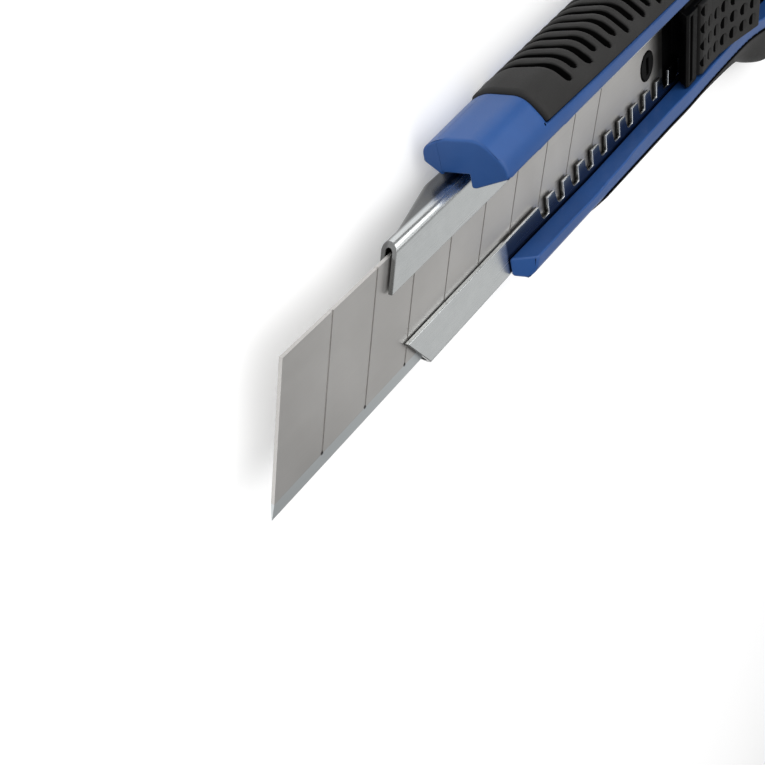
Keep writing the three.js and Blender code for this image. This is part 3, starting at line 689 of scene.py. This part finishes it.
def grip_path(x, grow, side, edges, count):
    """Points along the handle's section between the grip's two edges, from the back to the front."""
    ring = section(x, grow)
    if side > 0:
        path = np.concatenate([[(0, ring[0][1])], ring[:TOP_SIDE_POINTS]])
    else:
        path = np.concatenate([[(0, ring[-1][1])], ring[:TOP_SIDE_POINTS - 1:-1]])
    back_y, front_y = edges
    steps = np.linalg.norm(np.diff(path, axis=0), axis=1)
    at = np.concatenate([[0], np.cumsum(steps)])
    fine = np.linspace(0, at[-1], 1600)
    y = np.interp(fine, at, path[:, 0])
    z = np.interp(fine, at, path[:, 1])
    turn = int(np.argmax(side * y))
    first = int(np.argmax(side * y[:turn + 1] >= side * back_y)) if side * y[turn] > side * back_y else turn
    after = np.nonzero(side * y[turn:] <= side * front_y)[0]
    last = turn + (int(after[0]) if len(after) else len(y) - turn - 1)
    spots = np.linspace(fine[first], fine[last], count)
    return np.stack([np.interp(spots, fine, y), np.interp(spots, fine, z)], axis=1), spots - spots[0]


def grip(name, side, x_range, edges_at, depth_at, lean=0.0, step=0.17, count=84, under=16):
    """A rubber skin let into the handle, `depth_at` millimetres below its full height.
    Its rings lean along x by `lean` for each millimetre round the section."""
    roll, deepest = 0.7, 1.6
    rings, hollow_shades = [], []
    stations = np.linspace(*x_range, int((x_range[1] - x_range[0]) / step))
    for x in stations:
        edges = edges_at(x)
        outer, arc = grip_path(x, GRIP_PROUD, side, edges, count)
        inner, _ = grip_path(x, -GRIP_INLAY, side, edges, under)
        slope = np.gradient(outer, axis=0)
        normal = np.stack([-slope[:, 1], slope[:, 0]], axis=1)
        normal /= np.linalg.norm(normal, axis=1)[:, None]
        if side > 0:
            normal = -normal
        edge = np.minimum.reduce([arc, arc[-1] - arc, np.full_like(arc, x - x_range[0]),
                                  np.full_like(arc, x_range[1] - x)])
        drop = roll - np.sqrt(np.maximum(roll**2 - np.maximum(roll - edge, 0)**2, 0))
        carved = depth_at(x, outer, arc)
        depth = np.minimum(drop + carved, deepest)
        # painted shade: black along the grip's front seam and in the grooves, the deeper the darker
        seam_shade = 1 - ease(arc[-1] - arc, 0.12, 0.42)
        hollow_shades.append([*np.clip(carved / 0.55 + seam_shade, 0, 1), *[0] * under])
        skin_points = outer - normal * depth[:, None]
        turn = arc[int(np.argmax(side * outer[:, 0]))]
        shift = lean * ease(x, x_range[0], x_range[0] + 5) * ease(-x, -x_range[1], -x_range[1] + 5)
        shifts = [*(arc - turn) * shift, *[0] * under]
        rings.append([(x + dx, y, z) for dx, (y, z) in zip(shifts, (*skin_points, *inner[::-1]))])
    piece = skin(name, rings)
    mark_hollow_shades(piece, hollow_shades)
    return smooth(piece, 50)


RIB_PITCH = 2.62
FIRST_RIB = TOP_GRIP_X + 6.9
LONG_GROOVE_Y, SHORT_GROOVE_Y = 16.1, 16.75     # where the grooves end on the front
GROOVE_START = 1.6                              # their start, round from the grip's back edge
RIB_LEAN = 0.17                                 # along x for each millimetre round the section
LOW_RIDGE_PITCH = 2.5


def rib_grooves(x, outer, arc):
    """Depth of the transverse grooves, long and short in turn, that part the ribs of the top grip."""
    y = outer[:, 0]
    turn = int(np.argmax(y))
    depth = np.zeros(len(outer))
    for k in range(int((BODY_END - 8 - FIRST_RIB) / RIB_PITCH)):
        middle = FIRST_RIB + k * RIB_PITCH
        if abs(x - middle) > 3:
            continue
        end_y = LONG_GROOVE_Y if k % 2 == 0 else SHORT_GROOVE_Y
        front = turn + int(np.argmax(y[turn:] < end_y))
        end = arc[front] if y[-1] < end_y else arc[-1] - 1.2
        beyond = np.maximum(np.maximum(arc - end, GROOVE_START - arc), 0)
        away = np.hypot(x - middle, beyond)
        half = 0.48 + 0.12 * ease(arc, arc[turn], end)
        carved = 0.95 * (1 - ease(away, half * 0.7, half + 0.2))
        swale = 0.1 * (1 - ease(away, half, 1.2))
        depth += carved + swale
    return depth


def top_grip():
    """Ribbed grip along the spine."""
    return grip("top_rubber", 1, (TOP_GRIP_X, BODY_END), lambda x: (GRIP_BACK_Y, GRIP_FRONT_Y),
                rib_grooves, RIB_LEAN)


def low_ridges(x, outer, arc):
    """Fine cross ridges along the lower grip."""
    phase = (x - LOW_GRIP_X) / LOW_RIDGE_PITCH * 2 * math.pi
    fade = ease(x, LOW_GRIP_X + 5, LOW_GRIP_X + 9) * (1 - ease(x, 134, 140))
    side = ease(arc, 1.0, 2.5) * ease(arc[-1] - arc, 1.2, 3.0)
    return 0.16 * (1 + math.cos(phase)) * fade * side


def low_edges(x):
    """Back and front edge of the lower grip, never below the handle's belly."""
    belly = -CHANNEL_HALF - arm_below(x) - GRIP_PROUD + 0.2
    return max(low_grip_edge(x) - LOW_BACK_DROP, belly), max(low_grip_edge(x), belly)


def low_grip():
    """Grip along the belly, with fine ridges."""
    return grip("lower_rubber", -1, (LOW_GRIP_X, BODY_END), low_edges, low_ridges)


# ---- Thumb pad -------------------------------------------------------------------------------
def thumb_pad():
    """Pad that scoops up to the rear and narrows, with thumb dimples and a slot before its end."""
    front, rear = pad_low[0], pad_high[0]
    low_y, high_y, floor_z = pad_low[1], pad_high[1], pad_low[2]
    crest = np.array([(0, 4.5), (0.02, 4.95), (0.2, 4.8), (0.38, 5.1), (0.52, 5.9), (0.66, 6.9), (0.8, 7.8),
                      (0.9, 8.25), (0.97, 8.2), (1, 7.6)])
    dimple, corner, roll = 1.06, 1.6, 0.35
    places = [(front + 1.15 + 2.68 * i, -4.95 + 3.1 * j + 0.2 * i) for i in range(7) for j in range(-1, 5)]
    places = [(x, y) for x, y in places if low_y + 0.6 < y < high_y - 1.2 and x < rear - 2.2]
    rings, hollow_shades = [], []
    for x in np.linspace(front, rear, 190):
        height = np.interp((x - front) / (rear - front), crest[:, 0], crest[:, 1])
        behind = max(x - (rear - corner), 0)
        pull = corner - math.sqrt(max(corner**2 - behind**2, 0))
        taper = 1.2 * ease(x, front + 3, rear - 3)
        y = np.linspace(low_y + pull + taper, high_y - pull, 96)
        edge = np.minimum(y - y[0], y[-1] - y)
        z = height - (roll - np.sqrt(np.maximum(roll**2 - np.maximum(roll - edge, 0)**2, 0)))
        hollow_shade, depth = np.zeros_like(y), np.zeros_like(y)
        for cx, cy in places:
            inside = 1 - ease(np.hypot(x - cx, y - cy), dimple - 0.14, dimple + 0.06)
            depth += inside * (0.45 - 0.45 * np.clip((x - cx) / dimple, -1, 1))
            # painted shade: a dark crescent over the front part of each dimple
            hollow_shade += inside * (1 - ease(x - cx, 0.15, 0.6))
        slot = ease(x, rear - 1.75, rear - 1.6) * (1 - ease(x, rear - 0.2, rear - 0.05))
        z -= depth + 1.2 * slot * ease(edge, 0.0, 0.3)
        # painted shade in the slot before the pad's end
        hollow_shade = np.clip(hollow_shade + slot, 0, 1)
        top = [(x, b, c) for b, c in zip(y[::-1], z[::-1])]
        rings.append([(x, y[-1], floor_z), *top, (x, y[0], floor_z)])
        hollow_shades.append([0, *hollow_shade[::-1], 0])
    piece = skin("dimpled_pad", rings)
    mark_hollow_shades(piece, hollow_shades)
    return smooth(piece, 50)


# ---- Steel channel ---------------------------------------------------------------------------
def channel_section(x):
    """Closed (y, z) outline of the folded sheet at x, whose floor ramps down behind the tip."""
    fold_y, lip_back, fold_z = CHANNEL_HALF - FOLD, LIP_FRONT - SHEET, LIP_FRONT - FOLD
    ramp = np.clip((x - CHANNEL_TIP - 6.0) / 10.5, 0, 1)
    seam_gap = 0.001
    floor_z = (fold_z - FOLD) * (1 - ramp) + channel_low[2] * ramp + FOLD - seam_gap
    inner = FOLD - SHEET

    def arc(side, radius, z, start, end, steps=10):
        turns = np.radians(np.linspace(start, end, steps + 1))
        return [(side * (fold_y + radius * math.cos(a)), z + radius * math.sin(a)) for a in turns]
    return [(UPPER_LIP_Y, lip_back), *arc(1, inner, fold_z, 90, 0), *arc(1, inner, floor_z, 0, -90),
            *arc(-1, inner, floor_z, -90, 0), *arc(-1, inner, fold_z, 0, 90), (LOWER_LIP_Y, lip_back),
            (LOWER_LIP_Y, LIP_FRONT), *arc(-1, FOLD, fold_z, 90, 0), *arc(-1, FOLD, floor_z, 0, -90),
            *arc(1, FOLD, floor_z, -90, 0), *arc(1, FOLD, fold_z, 0, 90), (UPPER_LIP_Y, LIP_FRONT)]


def channel():
    """Pressed channel with its sheared mouth and the gaps of its rack."""
    ramp = [CHANNEL_TIP - 0.5, *np.linspace(CHANNEL_TIP + 5, CHANNEL_TIP + 17.5, 16), CHANNEL_END]
    body = skin("pressed_channel", [[(x, y, z) for y, z in channel_section(x)] for x in ramp])
    tip, lower_tip = CHANNEL_TIP, CHANNEL_TIP + LOWER_LIP_SETBACK
    top, upper, lower = CHANNEL_HALF + 1, UPPER_LIP_Y, LOWER_LIP_Y
    mouth = [(tip - 5, top), (tip + SCORE_SLOPE * (top - upper), top), (tip, upper), (tip, upper - 0.3),
             (tip + 2, upper - 1), (tip + 2, lower + 1), (lower_tip, lower + 0.3), (lower_tip, lower),
             (lower_tip + SCORE_SLOPE * (top + lower), -top), (tip - 5, -top)]
    cut(body, prism("mouth", mouth, 2, -FAR, FAR))
    for x in np.arange(tip + 36.1, CHANNEL_END - 4, RACK_PITCH):
        gap = [(x - 0.7, lower + 1), (x - 0.7, lower), (x - 0.2, lower - 2.0), (x + 0.15, lower - 2.55),
               (x + 0.5, lower - 2.7), (x + 2, lower - 2.7), (x + 2.1, lower), (x + 2.1, lower + 1)]
        cut(body, prism("gap", gap, 2, 0, 2))
    soften(body, 0.1, 45)
    return even(smooth(settle(body), 50))


shells()
finish_piece(top_grip(), "top_grip", "handle")
finish_piece(low_grip(), "lower_grip", "handle")
finish_piece(thumb_pad(), "thumb_pad", "thumb_slider")
finish_piece(channel(), "blade_channel", "handle")
SOFT_EDGES = {"blade_carrier": 0.12, "lock_pawl": 0.08, "slider_body": 0.12, "end_cap": 0.3}
for name, width in SOFT_EDGES.items():
    soften(nodes[name], width)


# ---- Stage: floor, light and camera ----------------------------------------------------------
def floor():
    """White card that the knife lies on."""
    half = 20.0
    mesh = bpy.data.meshes.new("floor")
    corners = [(-half, -half, 0), (half, -half, 0), (half, half, 0), (-half, half, 0)]
    mesh.from_pydata(corners, [], [(0, 1, 2, 3)])
    ground = bpy.data.objects.new("floor", mesh)
    bpy.context.scene.collection.objects.link(ground)
    ground.location.z = -0.0003
    f = Finish("floor_card", (0.8, 0.8, 0.8), 0.9, Emission_Color=(1, 1, 1, 1), Emission_Strength=0.3)
    f.set("Roughness", f.band(f.noise(0.02, 2), 0.3, 0.7, 0.85, 0.95))
    ground.data.materials.append(f.material)


def lamp(name, place, aim, size, power):
    """Rectangular soft light at a place, turned towards its aim, both in metres."""
    light = bpy.data.lights.new(name, "AREA")
    light.shape = "RECTANGLE"
    light.size, light.size_y = size
    light.energy = power
    holder = bpy.data.objects.new(name, light)
    bpy.context.scene.collection.objects.link(holder)
    holder.location = place
    holder.rotation_mode = "QUATERNION"
    holder.rotation_quaternion = (Vector(aim) - Vector(place)).to_track_quat("-Z", "Y")
    return holder


def studio():
    """Even white surroundings, one large overhead light, and cards for the steel to reflect."""
    world = bpy.data.worlds.new("studio")
    world.use_nodes = True
    bpy.context.scene.world = world
    world.node_tree.nodes["Background"].inputs["Color"].default_value = (1, 1, 1, 1)
    world.node_tree.nodes["Background"].inputs["Strength"].default_value = 0.3
    lamp("overhead", (-0.25, 0.45, 1.5), (0, 0, 0), (2.6, 2.6), 33.0)
    lamp("spine_light", (-0.1, 0.8, 0.25), (-0.03, 0, 0), (0.5, 0.25), 2.0)
    for card in (lamp("blade_card", (0.62, -0.50, 0.46), (-0.03, 0, 0.01), (0.75, 0.6), 0.68),
                 lamp("fold_card", (0.42, 0.53, 0.6), (-0.06, 0, 0.01), (0.45, 0.45), 1.5)):
        card.visible_diffuse = False
    bpy.context.scene.view_settings.view_transform = "Standard"


def camera():
    """View of the blade and the nose from above the point, rolled to lie across the frame."""
    data = bpy.data.cameras.new("camera")
    data.sensor_width = 36.0
    data.lens = 37.66
    data.clip_start = 0.001
    data.clip_end = 50
    holder = bpy.data.objects.new("camera", data)
    bpy.context.scene.collection.objects.link(holder)
    eye = Vector(to_row((-28.9, 63.1, 61.8)))
    aim = Vector(to_row((23.3, -6.19, 0)))
    look = (aim - eye).normalized()
    level = look.to_track_quat("-Z", "Y").to_matrix()
    roll = math.radians(-109.5)
    holder.rotation_mode = "QUATERNION"
    holder.rotation_quaternion = (Matrix.Rotation(roll, 3, look) @ level).to_quaternion()
    holder.location = eye
    bpy.context.scene.camera = holder


floor()
studio()
camera()
